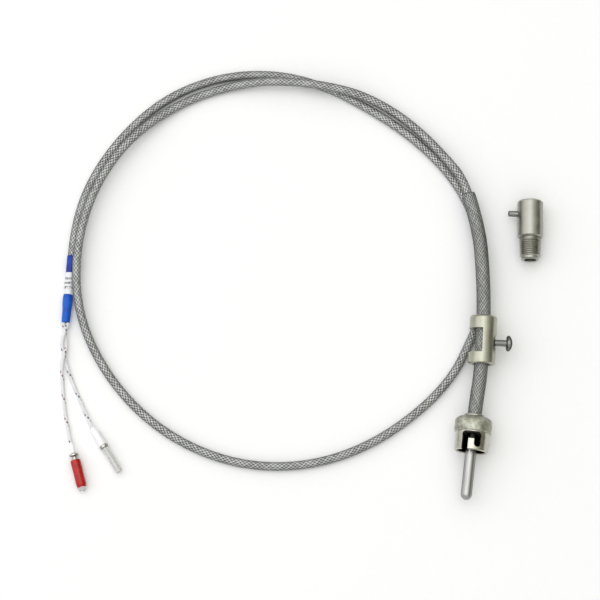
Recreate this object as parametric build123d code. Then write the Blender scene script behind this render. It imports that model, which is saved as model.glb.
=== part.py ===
"""Bayonet thermocouple with a sprung cap, an armoured lead, a clamp collar and a loose pipe adapter.

Millimetres. The origin is on the probe stem's axis, where the stem leaves the end ferrule.
+Y runs along that axis away from the tip, +Z is up, and the part lies on the plane z = FLOOR_Z.
"""
import os
from math import atan2, cos, degrees, pi, radians, sin, tan

from build123d import *

# Probe stem
STEM_R = 2.5
STEM_WALL = 0.4
STEM_LENGTH = 30.0
STEM_INSERT = 4.5
STEM_SHANK_R = 2.3
THERMO_WIRE_R = 0.25
THERMO_WIRE_GAP = 1.0
JUNCTION_R = 0.9
JUNCTION_Y = -27.5
INSULATOR_START = -26.4
INSULATOR_LENGTH = 9.4
INSULATOR_GAP = 0.2
INSULATOR_COUNT = 3
INSULATOR_HOLE_R = 0.35
SEAL_START = 2.5

# Ferrule, stop ring, spring and thrust washer
FERRULE_R = 4.0
FERRULE_LENGTH = 8.9
FERRULE_THROAT_R = 1.5
HOSE_SOCKET_Y = 6.0
SEAT_RING_R = 5.8
SEAT_RING_WIDTH = 0.8
STOP_RING_R = 4.7
STOP_RING_WIDTH = 1.1
WASHER_R = 5.9
WASHER_HOLE_R = 4.15
WASHER_WIDTH = 0.5
SPRING_MEAN_R = 5.1
SPRING_WIRE_R = 0.35
SPRING_TURNS = 3.5

# Bayonet cap
CAP_RIM_Y = -8.1
CAP_BAND_Y = 0.7
CAP_SHOULDER_Y = 5.6
CAP_WALL_Y = 6.7
CAP_BACK_Y = 7.7
CAP_BORE_R = 6.3
CAP_SKIRT_R = 7.7
CAP_BAND_R = 8.5
CAP_BACK_R = 5.2
CAP_HOLE_R = 4.08
SLOT_ENTRY_ANGLE = -28.0
SLOT_HOOK_ANGLE = 15.0
SLOT_ENTRY_WIDTH = 3.0
SLOT_RUN_WIDTH = 3.4
SLOT_HOOK_WIDTH = 3.2
SLOT_RUN_Y = -1.4
SLOT_HOOK_Y = -5.1

# Hose and lead
FLOOR_Z = -CAP_BAND_R
FLOOR_GAP = 0.05
HOSE_R = 3.25
HOSE_BORE_R = 2.4
LEAD_R = 2.0
LEAD_BORE_R = 1.65
LEAD_CORE_R = 1.6
LEAD_Z = FLOOR_Z + LEAD_R + FLOOR_GAP
HOSE_ROUTE = [
    (0.0, HOSE_SOCKET_Y, 0.0),
    (0.0, 14.0, 0.0),
    (0.8, 29.0, 0.8),
    (-1.0, 58.0, 2.6),
    (-3.5, 77.0, 1.5),
    (-7.0, 96.5, -0.9),
    (-13.7, 112.6, -1.0),
]
LEAD_ROUTE = [
    HOSE_ROUTE[-1],
    (-16.9, 119.55, -1.03),
    (-24.3, 127.6, -1.9),
    (-39.6, 141.8, -5.1),
    (-57.0, 152.2, -5.4),
    (-77.0, 157.2, -1.5),
    (-109.0, 157.8, -1.8),
    (-134.0, 152.6, LEAD_Z),
    (-156.5, 140.2, LEAD_Z),
    (-176.0, 119.0, -1.9),
    (-188.2, 93.2, -1.8),
    (-191.8, 64.8, -1.9),
    (-187.3, 36.5, -3.8),
    (-173.8, 12.6, LEAD_Z),
    (-152.6, -8.0, LEAD_Z),
    (-127.4, -21.2, LEAD_Z),
    (-99.8, -26.4, LEAD_Z),
    (-72.0, -22.8, LEAD_Z),
    (-46.6, -10.9, LEAD_Z),
    (-25.2, 7.7, LEAD_Z),
    (-11.4, 26.3, LEAD_Z),
    (-5.6, 42.5, LEAD_Z),
    (-0.4, 59.5, LEAD_Z),
    (-1.6, 75.0, LEAD_Z),
    (-4.8, 90.0, LEAD_Z),
    (-10.2, 104.0, LEAD_Z),
    (-17.8, 116.6, LEAD_Z),
    (-28.0, 127.4, LEAD_Z),
    (-43.2, 139.0, LEAD_Z),
    (-61.5, 148.8, LEAD_Z),
    (-84.2, 158.2, LEAD_Z),
    (-109.6, 162.2, LEAD_Z),
    (-136.0, 157.6, LEAD_Z),
    (-160.0, 144.4, LEAD_Z),
    (-178.2, 123.5, LEAD_Z),
    (-190.2, 99.6, LEAD_Z),
    (-194.5, 76.8, -6.05),
    (-193.6, 61.3, -6.05),
]

# Heat-shrink sleeve and marker, on the lead's free end
SLEEVE_LENGTH = 31.8
SLEEVE_START_R = 2.2
SLEEVE_MARKER_R = 1.95
SLEEVE_BULGE_R = 2.35
SLEEVE_TAIL_R = 2.0
SLEEVE_END_R = 1.95
SPLICE_R = 1.5
MARKER_START = 8.2
MARKER_LENGTH = 10.4
MARKER_R = 2.25
BULGE_LENGTH = 5.0

# Fibreglass wires: twisted for one turn, then splayed
WIRE_R = 0.8
WIRE_Z = FLOOR_Z + WIRE_R + FLOOR_GAP
TWIST_START_R = 1.15
TWIST_R = 1.35
TWIST_AXIS = [
    (-191.76, 29.55, -6.05),
    (-191.45, 24.4, -6.35),
    (-190.85, 19.2, -6.55),
    (-190.15, 14.0, -6.6),
    (-189.2, 8.8, -6.6),
]
POSITIVE_SPLAY = [
    (-189.5, 3.0, WIRE_Z),
    (-187.4, -6.5, WIRE_Z),
    (-184.8, -15.5, -7.6),
    (-181.9, -23.6, -7.0),
]
NEGATIVE_SPLAY = [
    (-185.6, 4.0, WIRE_Z),
    (-181.2, -3.4, WIRE_Z),
    (-176.9, -10.6, -7.4),
]

# Crimped terminals: each stands on its own axis line on the floor side of the wire
POSITIVE_AXIS_START = (-179.05, -30.2, -6.1)
POSITIVE_AXIS = (0.383, -0.924, 0.0)
NEGATIVE_AXIS_START = (-172.4, -17.3, -6.42)
NEGATIVE_AXIS = (0.635, -0.7725, 0.0)
POSITIVE_RING_R = 2.1
POSITIVE_RING_LENGTH = 1.5
POSITIVE_NECK_R = 0.9
POSITIVE_BARREL_R = 1.5
POSITIVE_SLEEVE_START = 3.2
POSITIVE_SLEEVE_LENGTH = 12.8
POSITIVE_SLEEVE_R = 2.32
POSITIVE_TIP_R = 2.0
POSITIVE_TIP_LENGTH = 1.9
BOOT_LENGTH = 9.8
BOOT_START_R = 1.25
BOOT_END_R = 2.0
NEGATIVE_RING_R = 1.95
NEGATIVE_RING_LENGTH = 1.3
NEGATIVE_BARREL_R = 1.0
NEGATIVE_SLEEVE_R = 1.5
NEGATIVE_SLEEVE_LENGTH = 13.2
NEGATIVE_BORE_R = 0.6

# Clamp collar and its thumb screw, on the straight run of the hose
COLLAR_R = 6.25
COLLAR_BORE_R = 4.05
COLLAR_LENGTH = 22.4
COLLAR_PLACE = 0.5
COLLAR_ROUND = 1.4
COLLAR_CHAMFER = 0.5
WINDOW_LENGTH = 11.1
WINDOW_SHIFT = -0.5
WINDOW_EDGE_X = -0.5
SCREW_SHIFT = -0.9
SCREW_R = 1.45
SCREW_HOLE_R = 1.5
SCREW_TIP_X = 3.6
SCREW_SHOULDER_X = 10.95
SCREW_HEAD_R = 3.55
SCREW_HEAD_LENGTH = 2.7
SCREW_DOME_RISE = 1.4
SPOT_FACE_R = 3.4
SPOT_FACE_X = 5.5

# Pipe adapter, loose beside the hose
ADAPTER_PLACE = (15.5, 113.0, FLOOR_Z + 6.0)
ADAPTER_TURN = 5.5
ADAPTER_R = 6.0
ADAPTER_BODY = 17.7
ADAPTER_EDGE = 0.7
ADAPTER_LENGTH = 28.2
ADAPTER_BORE_R = 2.8
ADAPTER_SOCKET_R = 4.6
ADAPTER_SOCKET_DEPTH = 8.0
THREAD_TOP_R = 5.05
THREAD_END_R = 4.72
THREAD_DEPTH = 0.5
THREAD_PITCH = 0.907
THREAD_TURNS = 9
NECK_R = 4.3
NECK_WIDTH = 0.9
PIN_R = 1.3
PIN_Y = -6.2
PIN_REACH = 10.2


def turned(points):
    """Solid of revolution about the Y axis from (radius, distance along Y) corner points."""
    outline = Polyline([(x, y, 0) for x, y in points], close=True)
    return revolve(make_face(outline), Axis.Y, 360)


def tube(outer, inner, start, end):
    """Plain tube about the Y axis."""
    return turned([(inner, start), (outer, start), (outer, end), (inner, end)])


def rod(radius, start, end):
    """Plain round bar about the Y axis."""
    return turned([(0, start), (radius, start), (radius, end), (0, end)])


def along(start, direction):
    """Location whose local +Y runs along a level direction from a start point."""
    return Location(start, (0, 0, degrees(atan2(-direction[0], direction[1]))))


def route_path(name, points):
    """Straight runs joined by tangent arcs, each as large as its two runs allow."""
    knots = [Vector(*point) for point in points]
    runs = [end - start for start, end in zip(knots, knots[1:])]
    radii = []
    for before, after in zip(runs, runs[1:]):
        half_turn = radians(before.get_angle(after)) / 2
        radii.append(0.45 * min(before.length, after.length) / tan(half_turn))
    ratios = [max(a.length, b.length) / min(a.length, b.length) for a, b in zip(runs, runs[1:])]
    print(name, "radii", [round(radius, 1) for radius in radii])
    print(name, "longest run", round(max(run.length for run in runs), 1), "largest ratio", round(max(ratios), 2))
    return FilletPolyline(*knots, radius=radii)


def swept(name, path, radius, bore=0.0):
    """Round tube or cord along a path; prints its length and its volume against section times length."""
    plane = Plane(origin=path @ 0, z_dir=path % 0)
    section = plane * Circle(radius)
    area = pi * radius ** 2
    if bore:
        section = section - plane * Circle(bore)
        area -= pi * bore ** 2
    solid = sweep(section, path=path)
    print(name, "length", round(path.length, 1), "volume ratio", round(solid.volume / (area * path.length), 4))
    return solid


def probe_sheath():
    """Stem tube closed by a domed tip, with its inner end turned down to a shank."""
    inner = STEM_R - STEM_WALL
    tip = -STEM_LENGTH + STEM_R
    outside = rod(STEM_R, tip, 0) + rod(STEM_SHANK_R, 0, STEM_INSERT) + Pos(0, tip, 0) * Sphere(STEM_R)
    inside = rod(inner, tip, STEM_INSERT) + Pos(0, tip, 0) * Sphere(inner)
    return outside - inside


def hot_junction_bead():
    return Pos(0, JUNCTION_Y, 0) * Sphere(JUNCTION_R)


def thermo_wire(side):
    """Bare conductor from the weld bead to the end of the lead."""
    wire = Pos(side * THERMO_WIRE_GAP / 2, 0, 0) * rod(THERMO_WIRE_R, JUNCTION_Y, HOSE_SOCKET_Y)
    return wire - hot_junction_bead()


def wire_holes(radius, start, end):
    holes = [Pos(side * THERMO_WIRE_GAP / 2, 0, 0) * rod(radius, start, end) for side in (-1, 1)]
    return holes[0] + holes[1]


def ceramic_insulators():
    """Twin-bore beads that keep the two conductors apart."""
    beads = []
    for index in range(INSULATOR_COUNT):
        start = INSULATOR_START + index * (INSULATOR_LENGTH + INSULATOR_GAP)
        end = start + INSULATOR_LENGTH
        beads.append(rod(STEM_R - STEM_WALL, start, end) - wire_holes(INSULATOR_HOLE_R, start - 1, end + 1))
    return Compound(children=[bead.solids()[0] for bead in beads])


def sheath_seal():
    """Potting plug in the open end of the stem and the ferrule's throat."""
    plug = rod(STEM_R - STEM_WALL, SEAL_START, STEM_INSERT) + rod(FERRULE_THROAT_R, STEM_INSERT, HOSE_SOCKET_Y)
    return plug - wire_holes(THERMO_WIRE_R, SEAL_START - 1, HOSE_SOCKET_Y + 1)


def end_ferrule():
    """Turned barrel that grips the stem in front and the hose behind."""
    body = rod(FERRULE_R, 0, FERRULE_LENGTH)
    body -= rod(STEM_SHANK_R, 0, STEM_INSERT)
    body -= rod(FERRULE_THROAT_R, STEM_INSERT, HOSE_SOCKET_Y)
    return body - rod(HOSE_R, HOSE_SOCKET_Y, FERRULE_LENGTH)


def stop_ring():
    ring = tube(STOP_RING_R, FERRULE_R, FERRULE_LENGTH - STOP_RING_WIDTH, FERRULE_LENGTH)
    rims = ring.edges().filter_by(GeomType.CIRCLE).filter_by(lambda edge: edge.radius > FERRULE_R + 0.1)
    return chamfer(rims, 0.3)


def thrust_spring():
    """Round-wire compression spring between the seat ring and the thrust washer."""
    start = SEAT_RING_WIDTH + SPRING_WIRE_R + 0.02
    height = CAP_WALL_Y - WASHER_WIDTH - 0.04 - SPRING_WIRE_R - 0.02 - start
    coil = Pos(0, start, 0) * Rot(-90, 0, 0) * Helix(height / SPRING_TURNS, height, SPRING_MEAN_R)
    section = Plane(origin=coil @ 0, z_dir=coil % 0) * Circle(SPRING_WIRE_R)
    return sweep(section, path=coil, is_frenet=True)


def thrust_washer():
    face = CAP_WALL_Y - 0.02
    return tube(WASHER_R, WASHER_HOLE_R, face - WASHER_WIDTH, face)


def radial_cutter(shape, y, angle):
    """Cutter standing radially out of the cap wall at an angle from the top, towards +X."""
    return Rot(0, angle, 0) * Pos(0, y, CAP_SKIRT_R) * shape


def bayonet_slot():
    """J-shaped slot: entry from the rim, run across, and a hook back towards the rim."""
    depth = 6.0
    entry_length = SLOT_RUN_Y - CAP_RIM_Y + 1.0
    hook_length = SLOT_RUN_Y - SLOT_HOOK_Y
    run = Polyline(
        (CAP_BORE_R - 1, SLOT_RUN_Y - SLOT_RUN_WIDTH / 2, 0),
        (CAP_BAND_R + 1, SLOT_RUN_Y - SLOT_RUN_WIDTH / 2, 0),
        (CAP_BAND_R + 1, SLOT_RUN_Y + SLOT_RUN_WIDTH / 2, 0),
        (CAP_BORE_R - 1, SLOT_RUN_Y + SLOT_RUN_WIDTH / 2, 0),
        close=True,
    )
    sweep_angle = SLOT_HOOK_ANGLE - SLOT_ENTRY_ANGLE
    cutter = Rot(0, SLOT_ENTRY_ANGLE - 90, 0) * revolve(make_face(run), Axis.Y, sweep_angle)
    cutter += radial_cutter(Cylinder(SLOT_RUN_WIDTH / 2, depth), SLOT_RUN_Y, SLOT_ENTRY_ANGLE)
    cutter += radial_cutter(Cylinder(SLOT_RUN_WIDTH / 2, depth), SLOT_RUN_Y, SLOT_HOOK_ANGLE)
    entry = Box(SLOT_ENTRY_WIDTH, entry_length, depth)
    cutter += radial_cutter(entry, SLOT_RUN_Y - entry_length / 2, SLOT_ENTRY_ANGLE)
    hook = Box(SLOT_HOOK_WIDTH, hook_length, depth)
    cutter += radial_cutter(hook, SLOT_RUN_Y - hook_length / 2, SLOT_HOOK_ANGLE)
    cutter += radial_cutter(Cylinder(SLOT_HOOK_WIDTH / 2, depth), SLOT_HOOK_Y, SLOT_HOOK_ANGLE)
    return cutter


def bayonet_cap():
    """Cup with a slotted skirt, a thicker band and a domed back that runs on the ferrule."""
    edge = 0.4
    step = 0.3
    outline = [
        Line((CAP_HOLE_R, CAP_WALL_Y), (CAP_BORE_R, CAP_WALL_Y)),
        Line((CAP_BORE_R, CAP_WALL_Y), (CAP_BORE_R, CAP_RIM_Y + edge)),
        Line((CAP_BORE_R, CAP_RIM_Y + edge), (CAP_BORE_R + edge, CAP_RIM_Y)),
        Line((CAP_BORE_R + edge, CAP_RIM_Y), (CAP_SKIRT_R - edge, CAP_RIM_Y)),
        Line((CAP_SKIRT_R - edge, CAP_RIM_Y), (CAP_SKIRT_R, CAP_RIM_Y + edge)),
        Line((CAP_SKIRT_R, CAP_RIM_Y + edge), (CAP_SKIRT_R, CAP_BAND_Y)),
        Line((CAP_SKIRT_R, CAP_BAND_Y), (CAP_BAND_R - step, CAP_BAND_Y)),
        Line((CAP_BAND_R - step, CAP_BAND_Y), (CAP_BAND_R, CAP_BAND_Y + step)),
        Line((CAP_BAND_R, CAP_BAND_Y + step), (CAP_BAND_R, CAP_SHOULDER_Y)),
        ThreePointArc((CAP_BAND_R, CAP_SHOULDER_Y), (CAP_BAND_R - 0.95, CAP_BACK_Y - 0.7), (CAP_BACK_R, CAP_BACK_Y)),
        Line((CAP_BACK_R, CAP_BACK_Y), (CAP_HOLE_R, CAP_BACK_Y)),
        Line((CAP_HOLE_R, CAP_BACK_Y), (CAP_HOLE_R, CAP_WALL_Y)),
    ]
    return revolve(make_face(Wire(outline)), Axis.Y, 360) - bayonet_slot()


def shrink_axis():
    """Location at the lead's end, with +Y along the heat-shrink sleeve."""
    end, before = LEAD_ROUTE[-1], LEAD_ROUTE[-2]
    return along(end, (end[0] - before[0], end[1] - before[1]))


def heat_shrink_sleeve():
    """Sleeve shrunk over the end of the lead, narrow under the marker and stepped down over the wires."""
    marker_end = MARKER_START + MARKER_LENGTH
    bulge_end = marker_end + BULGE_LENGTH
    profile = [
        (SPLICE_R, 0),
        (SLEEVE_START_R, 0),
        (SLEEVE_START_R, MARKER_START),
        (SLEEVE_MARKER_R, MARKER_START),
        (SLEEVE_MARKER_R, marker_end),
        (SLEEVE_BULGE_R, marker_end),
        (SLEEVE_BULGE_R, bulge_end),
        (SLEEVE_TAIL_R, bulge_end + 2.0),
        (SLEEVE_END_R, SLEEVE_LENGTH),
        (SPLICE_R, SLEEVE_LENGTH),
    ]
    return shrink_axis() * turned(profile)


def splice_core():
    """Crimped and potted joint of the lead's conductors with the two bare-ended wires."""
    return shrink_axis() * rod(SPLICE_R, 0, SLEEVE_LENGTH)


def marker_sleeve():
    return shrink_axis() * tube(MARKER_R, SLEEVE_MARKER_R, MARKER_START, MARKER_START + MARKER_LENGTH)


def twisted(phase):
    """Points of one wire of the twisted pair, a quarter turn apart."""
    points = []
    for index, (x, y, z) in enumerate(TWIST_AXIS):
        angle = radians(phase + 90 * index)
        reach = TWIST_R if index else TWIST_START_R
        points.append((x + reach * cos(angle), y, z + reach * sin(angle)))
    return points


def positive_route():
    return twisted(180) + POSITIVE_SPLAY + [POSITIVE_AXIS_START]


def negative_route():
    return twisted(0) + NEGATIVE_SPLAY + [NEGATIVE_AXIS_START]


def positive_terminal_pieces():
    """Crimp ring, metal barrel, red sleeve and clear tip of the positive wire."""
    place = along(POSITIVE_AXIS_START, POSITIVE_AXIS)
    sleeve_end = POSITIVE_SLEEVE_START + POSITIVE_SLEEVE_LENGTH
    tip_end = sleeve_end + POSITIVE_TIP_LENGTH
    barrel = [
        (0, POSITIVE_RING_LENGTH),
        (POSITIVE_NECK_R, POSITIVE_RING_LENGTH),
        (POSITIVE_NECK_R, POSITIVE_SLEEVE_START + 0.6),
        (POSITIVE_BARREL_R, POSITIVE_SLEEVE_START + 1.4),
        (POSITIVE_BARREL_R, sleeve_end),
        (0, sleeve_end),
    ]
    sleeve = [
        (POSITIVE_BARREL_R, POSITIVE_SLEEVE_START),
        (POSITIVE_SLEEVE_R, POSITIVE_SLEEVE_START),
        (POSITIVE_SLEEVE_R, sleeve_end - 0.8),
        (POSITIVE_TIP_R, sleeve_end),
        (POSITIVE_BARREL_R, sleeve_end),
    ]
    tip = [
        (0, sleeve_end),
        (POSITIVE_TIP_R, sleeve_end),
        (POSITIVE_TIP_R - 0.2, sleeve_end + 1.0),
        (POSITIVE_TIP_R - 0.9, tip_end),
        (0, tip_end),
    ]
    return {
        "positive_crimp_ring": place * rod(POSITIVE_RING_R, 0, POSITIVE_RING_LENGTH),
        "positive_terminal": place * turned(barrel),
        "positive_sleeve": place * turned(sleeve),
        "positive_tip": place * turned(tip),
    }


def negative_terminal_pieces():
    """Boot, crimp ring, hollow metal barrel and clear sleeve of the negative wire."""
    place = along(NEGATIVE_AXIS_START, NEGATIVE_AXIS)
    ring_end = BOOT_LENGTH + NEGATIVE_RING_LENGTH
    end = ring_end + NEGATIVE_SLEEVE_LENGTH
    boot = [
        (0, 0),
        (BOOT_START_R, 0),
        (BOOT_START_R, 1.0),
        (BOOT_END_R, 3.0),
        (BOOT_END_R, BOOT_LENGTH),
        (0, BOOT_LENGTH),
    ]
    barrel = rod(NEGATIVE_BARREL_R, ring_end, end - 0.6) - rod(NEGATIVE_BORE_R, end - 6.0, end)
    sleeve = [
        (NEGATIVE_BARREL_R, ring_end),
        (NEGATIVE_SLEEVE_R, ring_end),
        (NEGATIVE_SLEEVE_R, end - 1.0),
        (NEGATIVE_SLEEVE_R - 0.2, end),
        (NEGATIVE_BARREL_R, end),
    ]
    return {
        "negative_boot": place * turned(boot),
        "negative_crimp_ring": place * rod(NEGATIVE_RING_R, BOOT_LENGTH, ring_end),
        "negative_terminal": place * barrel,
        "negative_sleeve": place * turned(sleeve),
    }


def collar_place():
    """Location on the hose's straight run, with +Y along the hose and +X level."""
    start, end = Vector(*HOSE_ROUTE[2]), Vector(*HOSE_ROUTE[3])
    direction = (end - start).normalized()
    centre = start + (end - start) * COLLAR_PLACE
    across = direction.cross(Vector(0, 0, 1)).normalized()
    return Plane(origin=centre, x_dir=across, z_dir=across.cross(direction)).location


def clamp_collar():
    """Bored collar with a window through one side and a tapped hole through the other."""
    half = COLLAR_LENGTH / 2
    body = tube(COLLAR_R, COLLAR_BORE_R, -half, half)
    circles = body.edges().filter_by(GeomType.CIRCLE).filter_by(lambda edge: edge.radius > COLLAR_R - 0.1)
    ends = circles.sort_by(Axis.Y)
    body = fillet(ends[-1:], COLLAR_ROUND)
    circles = body.edges().filter_by(GeomType.CIRCLE).filter_by(lambda edge: edge.radius > COLLAR_R - 0.1)
    body = chamfer(circles.sort_by(Axis.Y)[:1], COLLAR_CHAMFER)
    window_width = COLLAR_R + WINDOW_EDGE_X + 1
    window = Pos(WINDOW_EDGE_X - window_width / 2, WINDOW_SHIFT, 0) * Box(window_width, WINDOW_LENGTH, 4 * COLLAR_R)
    body -= window
    body -= Pos(COLLAR_R, SCREW_SHIFT, 0) * Rot(0, 90, 0) * Cylinder(SCREW_HOLE_R, 2 * COLLAR_R)
    body -= Pos(SPOT_FACE_X + COLLAR_R / 2, SCREW_SHIFT, 0) * Rot(0, 90, 0) * Cylinder(SPOT_FACE_R, COLLAR_R)
    return collar_place() * body


def thumb_screw_pieces():
    """Straight shank and a domed head pressed on its outer end."""
    place = collar_place() * Pos(0, SCREW_SHIFT, 0) * Rot(0, 0, -90)
    dome = SCREW_SHOULDER_X + SCREW_HEAD_LENGTH
    brim = dome - SCREW_DOME_RISE
    dome_r = (SCREW_HEAD_R ** 2 + SCREW_DOME_RISE ** 2) / (2 * SCREW_DOME_RISE)
    halfway = SCREW_HEAD_R / 2
    halfway_rise = dome - dome_r + (dome_r ** 2 - halfway ** 2) ** 0.5
    head = [
        Line((0, SCREW_SHOULDER_X), (SCREW_HEAD_R - 0.5, SCREW_SHOULDER_X)),
        Line((SCREW_HEAD_R - 0.5, SCREW_SHOULDER_X), (SCREW_HEAD_R, SCREW_SHOULDER_X + 0.5)),
        Line((SCREW_HEAD_R, SCREW_SHOULDER_X + 0.5), (SCREW_HEAD_R, brim)),
        ThreePointArc((SCREW_HEAD_R, brim), (halfway, halfway_rise), (0, dome)),
        Line((0, dome), (0, SCREW_SHOULDER_X)),
    ]
    shank = [
        (0, SCREW_TIP_X),
        (SCREW_R - 0.5, SCREW_TIP_X),
        (SCREW_R, SCREW_TIP_X + 0.5),
        (SCREW_R, SCREW_SHOULDER_X),
        (0, SCREW_SHOULDER_X),
    ]
    return {
        "thumb_screw_shank": place * turned(shank),
        "thumb_screw_head": place * revolve(make_face(Wire(head)), Axis.Y, 360),
    }


def adapter_outline():
    """Half outline of the adapter's outside: plain body, shoulder, neck groove, tapered thread, lead-in."""
    thread_start = ADAPTER_BODY + NECK_WIDTH
    points = [
        (0, 0),
        (ADAPTER_R - ADAPTER_EDGE, 0),
        (ADAPTER_R, -ADAPTER_EDGE),
        (ADAPTER_R, -ADAPTER_BODY + ADAPTER_EDGE),
        (ADAPTER_R - ADAPTER_EDGE, -ADAPTER_BODY),
        (NECK_R, -ADAPTER_BODY),
        (NECK_R, -thread_start),
    ]
    for turn in range(THREAD_TURNS):
        crest = THREAD_TOP_R + (THREAD_END_R - THREAD_TOP_R) * turn / THREAD_TURNS
        top = thread_start + turn * THREAD_PITCH
        points.append((crest - THREAD_DEPTH, -top))
        points.append((crest, -top - 0.4 * THREAD_PITCH))
        points.append((crest, -top - 0.6 * THREAD_PITCH))
    thread_end = thread_start + THREAD_TURNS * THREAD_PITCH
    points.append((THREAD_END_R - THREAD_DEPTH, -thread_end))
    points.append((THREAD_END_R - THREAD_DEPTH, -ADAPTER_LENGTH + 0.5))
    points.append((THREAD_END_R - 2 * THREAD_DEPTH, -ADAPTER_LENGTH))
    points.append((0, -ADAPTER_LENGTH))
    return points


def adapter_place():
    return Location(ADAPTER_PLACE, (0, 0, ADAPTER_TURN))


def adapter_body():
    """Bayonet socket above, tapered pipe thread below, bored through for the stem."""
    cone = ADAPTER_SOCKET_R - ADAPTER_BORE_R
    inside = [
        (0, 1),
        (ADAPTER_SOCKET_R, 1),
        (ADAPTER_SOCKET_R, -ADAPTER_SOCKET_DEPTH),
        (ADAPTER_BORE_R, -ADAPTER_SOCKET_DEPTH - cone),
        (ADAPTER_BORE_R, -ADAPTER_LENGTH - 1),
        (0, -ADAPTER_LENGTH - 1),
    ]
    body = turned(adapter_outline()) - turned(inside)
    body -= Pos(-ADAPTER_R, PIN_Y, 0) * Rot(0, 90, 0) * Cylinder(PIN_R, 2 * (ADAPTER_R - ADAPTER_SOCKET_R) + 1)
    return adapter_place() * body


def adapter_pin():
    """Bayonet pin pressed through the adapter's wall."""
    inner = ADAPTER_SOCKET_R + 0.2
    profile = [
        (0, inner),
        (PIN_R, inner),
        (PIN_R, PIN_REACH - 0.3),
        (PIN_R - 0.3, PIN_REACH),
        (0, PIN_REACH),
    ]
    return adapter_place() * Pos(0, PIN_Y, 0) * Rot(0, 0, 90) * turned(profile)


def build():
    """Every node of the part, by name."""
    hose_path = route_path("hose", HOSE_ROUTE)
    lead_path = route_path("lead", LEAD_ROUTE)
    positive_path = route_path("wire_positive", positive_route())
    negative_path = route_path("wire_negative", negative_route())
    nodes = {
        "probe_sheath": probe_sheath(),
        "hot_junction_bead": hot_junction_bead(),
        "thermo_wire_positive": thermo_wire(1),
        "thermo_wire_negative": thermo_wire(-1),
        "ceramic_insulators": ceramic_insulators(),
        "sheath_seal": sheath_seal(),
        "end_ferrule": end_ferrule(),
        "spring_seat_ring": tube(SEAT_RING_R, FERRULE_R, 0, SEAT_RING_WIDTH),
        "stop_ring": stop_ring(),
        "thrust_spring": thrust_spring(),
        "thrust_washer": thrust_washer(),
        "bayonet_cap": bayonet_cap(),
        "armour_hose": swept("armour_hose", hose_path, HOSE_R, HOSE_BORE_R),
        "lead_braid_in_hose": swept("lead_braid_in_hose", hose_path, LEAD_R, LEAD_BORE_R),
        "lead_core_in_hose": swept("lead_core_in_hose", hose_path, LEAD_CORE_R),
        "lead_braid": swept("lead_braid", lead_path, LEAD_R, LEAD_BORE_R),
        "lead_core": swept("lead_core", lead_path, LEAD_CORE_R),
        "splice_core": splice_core(),
        "heat_shrink_sleeve": heat_shrink_sleeve(),
        "marker_sleeve": marker_sleeve(),
        "wire_positive": swept("wire_positive", positive_path, WIRE_R),
        "wire_negative": swept("wire_negative", negative_path, WIRE_R),
        "clamp_collar": clamp_collar(),
        "adapter_body": adapter_body(),
        "adapter_pin": adapter_pin(),
    }
    nodes.update(positive_terminal_pieces())
    nodes.update(negative_terminal_pieces())
    nodes.update(thumb_screw_pieces())
    return nodes


os.makedirs("parts", exist_ok=True)
for node, shape in build().items():
    export_step(shape, f"parts/{node}.step")
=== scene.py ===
"""Looks of a bayonet thermocouple: braids, wires, sleeves, metals, light and camera.

Metres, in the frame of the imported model. The part lies on the lowest level of its own box.
"""
from collections import namedtuple
from math import ceil, cos, pi, radians, sin

import bmesh
import bpy
import numpy as np
from mathutils import Matrix, Vector


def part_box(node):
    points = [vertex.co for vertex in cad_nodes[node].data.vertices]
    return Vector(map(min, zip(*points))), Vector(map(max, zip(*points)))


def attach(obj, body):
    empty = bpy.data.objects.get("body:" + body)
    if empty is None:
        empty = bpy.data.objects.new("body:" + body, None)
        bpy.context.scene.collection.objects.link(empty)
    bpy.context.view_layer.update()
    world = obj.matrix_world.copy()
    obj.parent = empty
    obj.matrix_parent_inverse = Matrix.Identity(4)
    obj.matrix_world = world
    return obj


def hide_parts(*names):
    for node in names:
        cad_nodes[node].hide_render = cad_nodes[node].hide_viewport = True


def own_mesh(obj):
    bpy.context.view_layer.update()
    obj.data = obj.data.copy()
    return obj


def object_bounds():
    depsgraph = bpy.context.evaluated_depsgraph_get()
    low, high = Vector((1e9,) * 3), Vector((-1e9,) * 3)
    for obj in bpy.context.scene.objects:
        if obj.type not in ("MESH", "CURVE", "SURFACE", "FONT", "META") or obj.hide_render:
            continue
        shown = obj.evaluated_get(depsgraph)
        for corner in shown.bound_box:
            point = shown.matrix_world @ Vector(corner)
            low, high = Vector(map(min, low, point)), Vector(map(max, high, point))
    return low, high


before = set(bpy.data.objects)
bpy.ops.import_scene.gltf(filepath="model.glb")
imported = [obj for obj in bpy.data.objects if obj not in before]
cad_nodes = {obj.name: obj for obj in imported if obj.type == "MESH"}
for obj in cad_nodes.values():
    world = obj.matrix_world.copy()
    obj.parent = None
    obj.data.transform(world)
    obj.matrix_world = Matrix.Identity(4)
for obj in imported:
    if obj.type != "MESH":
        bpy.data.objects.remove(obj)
cad_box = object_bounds()

MM = 0.001
FLOOR_Z = cad_box[0][2]

# Camera: the floor point in the middle of the view, and how the camera looks at it
VIEW_TARGET = (-0.0856, 0.0542)
VIEW_DISTANCE = 0.9
VIEW_ELEVATION = radians(77.0)
VIEW_TURN = radians(7.1)
VIEW_WIDTH = 0.279
SENSOR_MM = 36.0
CLIP_START = 0.01

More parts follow.
